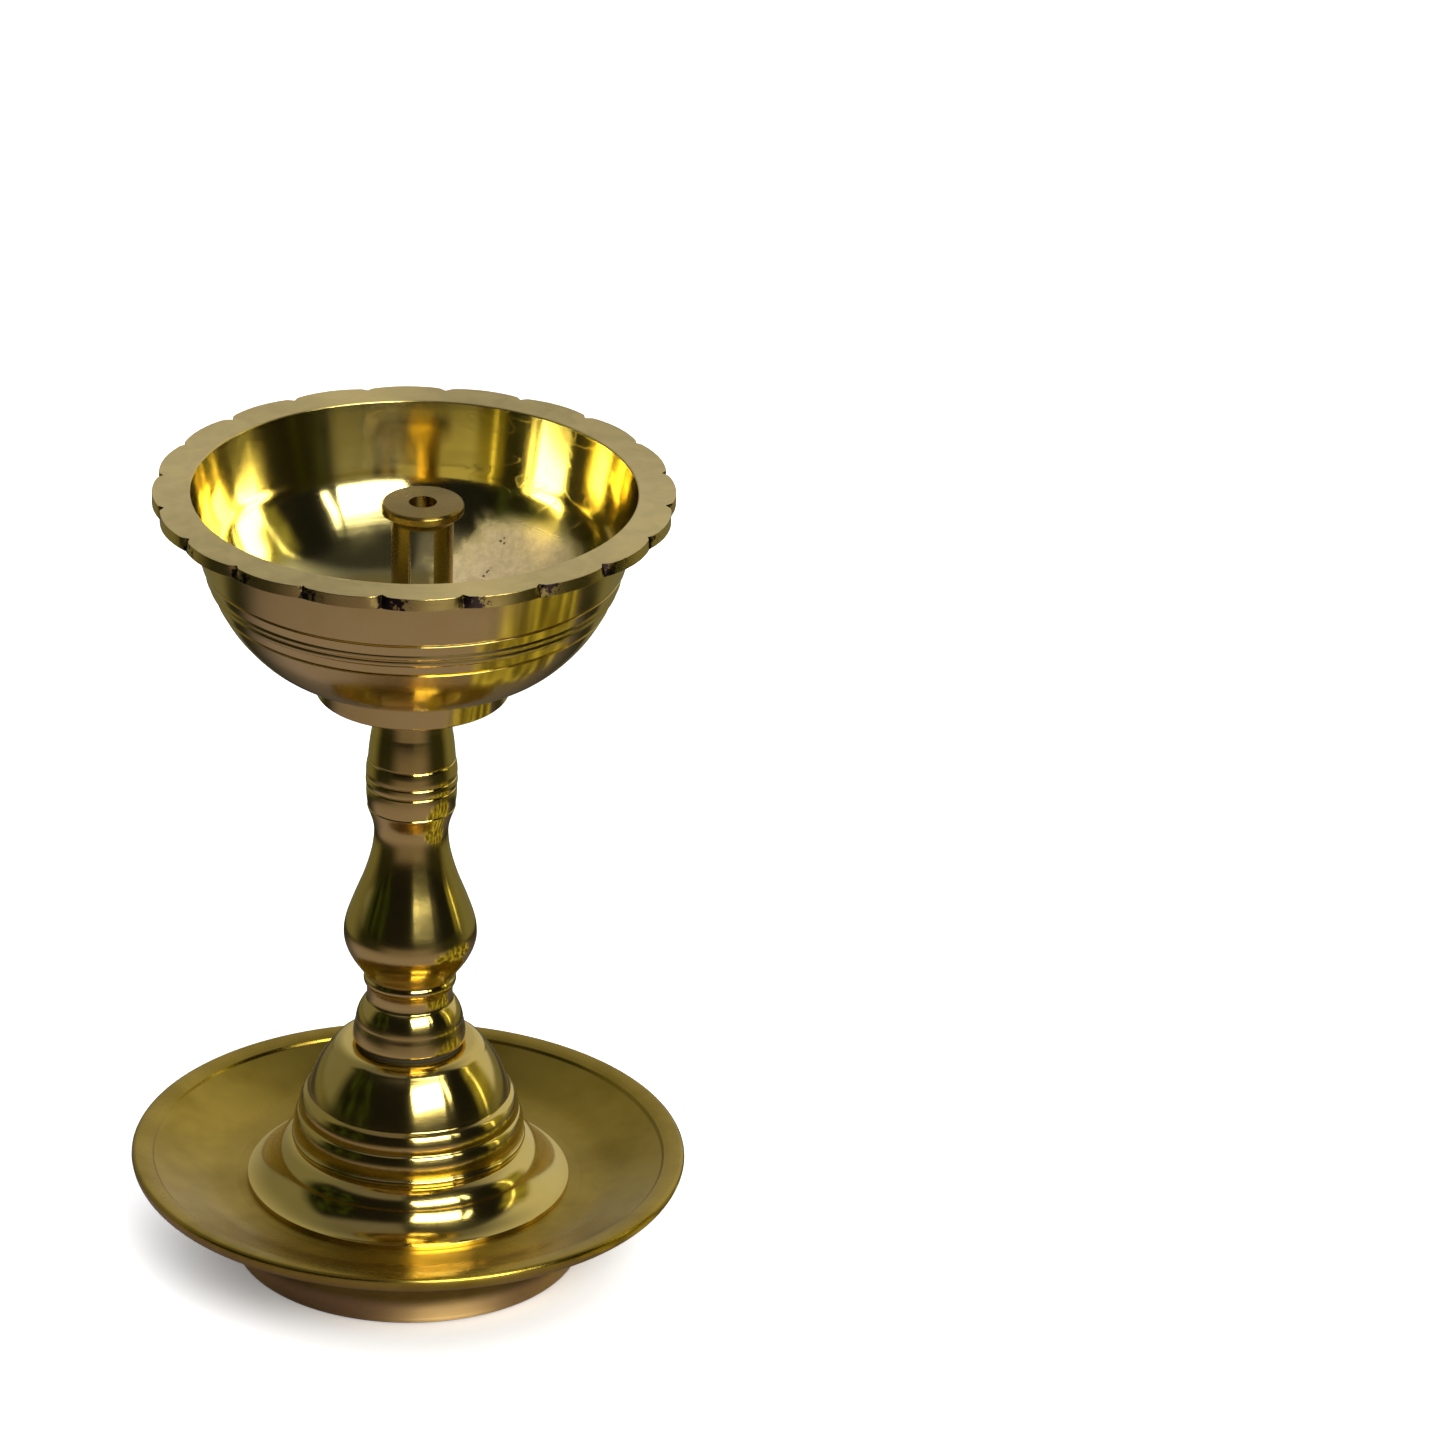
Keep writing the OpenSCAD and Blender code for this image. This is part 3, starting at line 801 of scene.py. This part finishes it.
def cutter(name, mesh_maker):
    mesh = bpy.data.meshes.new(name)
    shape = bmesh.new()
    mesh_maker(shape)
    shape.to_mesh(mesh)
    shape.free()
    thing = bpy.data.objects.new(name, mesh)
    bpy.context.scene.collection.objects.link(thing)
    return thing


def rod_cutter(name, radius, low, high, x):
    def build(shape):
        bmesh.ops.create_cone(shape, cap_ends=True, segments=64, radius1=radius, radius2=radius,
                              depth=high - low, matrix=Matrix.Translation((x, 0, (low + high) / 2)))
    return cutter(name, build)


def box_cutter(name, low, high):
    def build(shape):
        size = Vector(high) - Vector(low)
        middle = (Vector(high) + Vector(low)) / 2
        bmesh.ops.create_cube(shape, size=1.0,
                              matrix=Matrix.Translation(middle) @ Matrix.Diagonal((*size, 1)))
    return cutter(name, build)


def make_wick_holder(material):
    low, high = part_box("wick_holder")
    x = (low.x + high.x) / 2
    foot_r = (high.x - low.x) / 2
    foot_top = low.z + HOLDER_FOOT_T
    cap_low = high.z - CAP_T
    slot_top = cap_low - 1.2 * MM
    points = np.array([(0, low.z), (foot_r, low.z), (foot_r, low.z + 0.35 * MM),
                       (foot_r - 0.9 * MM, foot_top - 0.6 * MM), (TUBE_R + 0.9 * MM, foot_top - 0.1 * MM),
                       (TUBE_R + 0.25 * MM, foot_top + 0.4 * MM), (TUBE_R, foot_top + 1.2 * MM),
                       (TUBE_R, slot_top + 0.1 * MM), (TUBE_R + 0.35 * MM, cap_low - 0.4 * MM),
                       (CAP_R - 0.5 * MM, cap_low), (CAP_R, cap_low + 0.3 * MM),
                       (CAP_R, high.z - 0.35 * MM), (CAP_R - 0.35 * MM, high.z), (0, high.z)])
    body = lathe("wick_holder_cast", smoothed(points, False), False, angles=even_angles(96))
    body.data.transform(Matrix.Translation((x, 0, 0)))
    reach = foot_r + 1 * MM
    tools = [box_cutter("slot_tool", (x - SLOT_W / 2, -reach, foot_top),
                        (x + SLOT_W / 2, reach, slot_top)),
             rod_cutter("channel_tool", CHANNEL_R, foot_top, slot_top, x),
             rod_cutter("wick_tool", WICK_R, slot_top - 1 * MM, high.z + 1 * MM, x)]
    for tool in tools:
        cut = body.modifiers.new(tool.name, "BOOLEAN")
        cut.operation, cut.solver, cut.object = "DIFFERENCE", "EXACT", tool
    bevel = body.modifiers.new("bevel", "BEVEL")
    bevel.width, bevel.segments = HOLDER_BEVEL, 2
    bevel.limit_method, bevel.angle_limit = "ANGLE", math.radians(40)
    bake_modifiers(body)
    for tool in tools:
        bpy.data.objects.remove(tool)
    co = np.array([v.co for v in body.data.vertices]) - (x, 0, 0)
    store(body.data, "along", co[:, 2] + np.hypot(co[:, 0], co[:, 1]))
    store(body.data, "polish", np.full(len(co), 0.45))
    store(body.data, "stain", np.zeros(len(co)))
    place(body, "wick_holder", "cast_brass", material, "wick_holder")


def bake_modifiers(thing):
    """Replaces a piece's mesh with what its modifiers make of it, smooth but for its sharp edges."""
    shape = thing.evaluated_get(bpy.context.evaluated_depsgraph_get())
    mesh = bpy.data.meshes.new_from_object(shape)
    thing.modifiers.clear()
    thing.data = mesh
    for name in ("along", "polish", "stain", "custom_normal"):
        if name in mesh.attributes:
            mesh.attributes.remove(mesh.attributes[name])
    sharpen(mesh, math.radians(32))


def sharpen(mesh, angle):
    mesh.shade_smooth()
    shape = bmesh.new()
    shape.from_mesh(mesh)
    bmesh.ops.remove_doubles(shape, verts=shape.verts, dist=1e-7)
    for edge in shape.edges:
        edge.smooth = len(edge.link_faces) == 2 and edge.calc_face_angle() < angle
    shape.to_mesh(mesh)
    shape.free()


# ---- threads ----
PITCH = 1.0 * MM
THREAD_DEPTH = 0.6 * MM
THREAD_END_R = 2.2 * MM


def thread_height(z, angles):
    """0 in the groove and 1 on the crest of a right-hand thread."""
    turn = (z / PITCH - angles / TAU) % 1.0
    return np.clip((1 - np.abs(2 * turn - 1)) * 1.7 - 0.35, 0, 1)


def make_threaded(name, node, body, material):
    low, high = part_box(node)
    crest = high.x
    rows = math.ceil((high.z - low.z) / (PITCH / 8))
    heights = np.linspace(low.z, high.z, rows + 1)
    places = [(0.0, low.z)] + [(crest, z) for z in heights] + [(0.0, high.z)]
    slopes = [(1.0, 0.0)] + [(0.0, 1.0)] * (rows + 1) + [(-1.0, 0.0)]
    thing = lathe(name, (np.array(places), np.array(slopes)), False, angles=even_angles(64))
    co = np.array([v.co for v in thing.data.vertices])
    angles = np.arctan2(co[:, 1], co[:, 0])
    end = np.minimum(co[:, 2] - low.z, high.z - co[:, 2])
    radius = crest - THREAD_DEPTH + THREAD_DEPTH * thread_height(co[:, 2], angles)
    radius = np.minimum(radius, THREAD_END_R + end)
    off_axis = np.hypot(co[:, 0], co[:, 1]) > SAME
    scale = np.where(off_axis, radius / crest, 1.0)
    co[:, 0] *= scale
    co[:, 1] *= scale
    thing.data.vertices.foreach_set("co", co.ravel())
    thing.data.attributes.remove(thing.data.attributes["custom_normal"])
    sharpen(thing.data, math.radians(60))
    place(thing, body, "plated_steel", material, node)


make_camera()
make_studio()

# top: the paler colour of a painted sheen on the bowl's rim top
satin = brass("satin_brass", (0.86, 0.67, 0.20), (0.81, 0.61, 0.16), 0.34, 0.11, 0.000006,
              top=(0.94, 0.75, 0.30), inside=True)
polished = brass("polished_brass", (0.86, 0.67, 0.19), (0.81, 0.61, 0.15), 0.28, 0.13, 0.000004)
# side: the lighter colour of painted light on the tray's foot
tarnished = brass("tarnished_brass", (0.54, 0.38, 0.055), (0.38, 0.26, 0.025), 0.34, 0.14, 0.000006,
                  side=(0.95, 0.66, 0.26))
cast = brass("cast_brass", (0.42, 0.29, 0.06), (0.32, 0.21, 0.035), 0.36, 0.14, 0.000008)
black = rubber("washer_rubber")
steel = zinc("zinc_plate")

make_turned("tray_turned", "drip_tray", "base", "cast_brass", tarnished, tray_finish)
make_turned("dome_turned", "bell_dome", "base", "polished_brass", polished, full_polish)
make_turned("stem_turned", "stem", "stem", "polished_brass", polished, full_polish, around=192)
make_bowl(satin)
make_wick_holder(cast)
make_turned("collar_rubber", "collar_washer", "collar_ring", "black_rubber", black)
make_turned("seat_rubber", "seat_washer", "seat_ring", "black_rubber", black)
make_turned("washer_steel", "steel_washer", "nut_washer", "plated_steel", steel)
make_threaded("rod_threaded", "tie_rod", "base", steel)
make_threaded("stud_threaded", "bowl_stud", "bowl", steel)
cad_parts["hex_nut"].data.materials.clear()
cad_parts["hex_nut"].data.materials.append(steel)
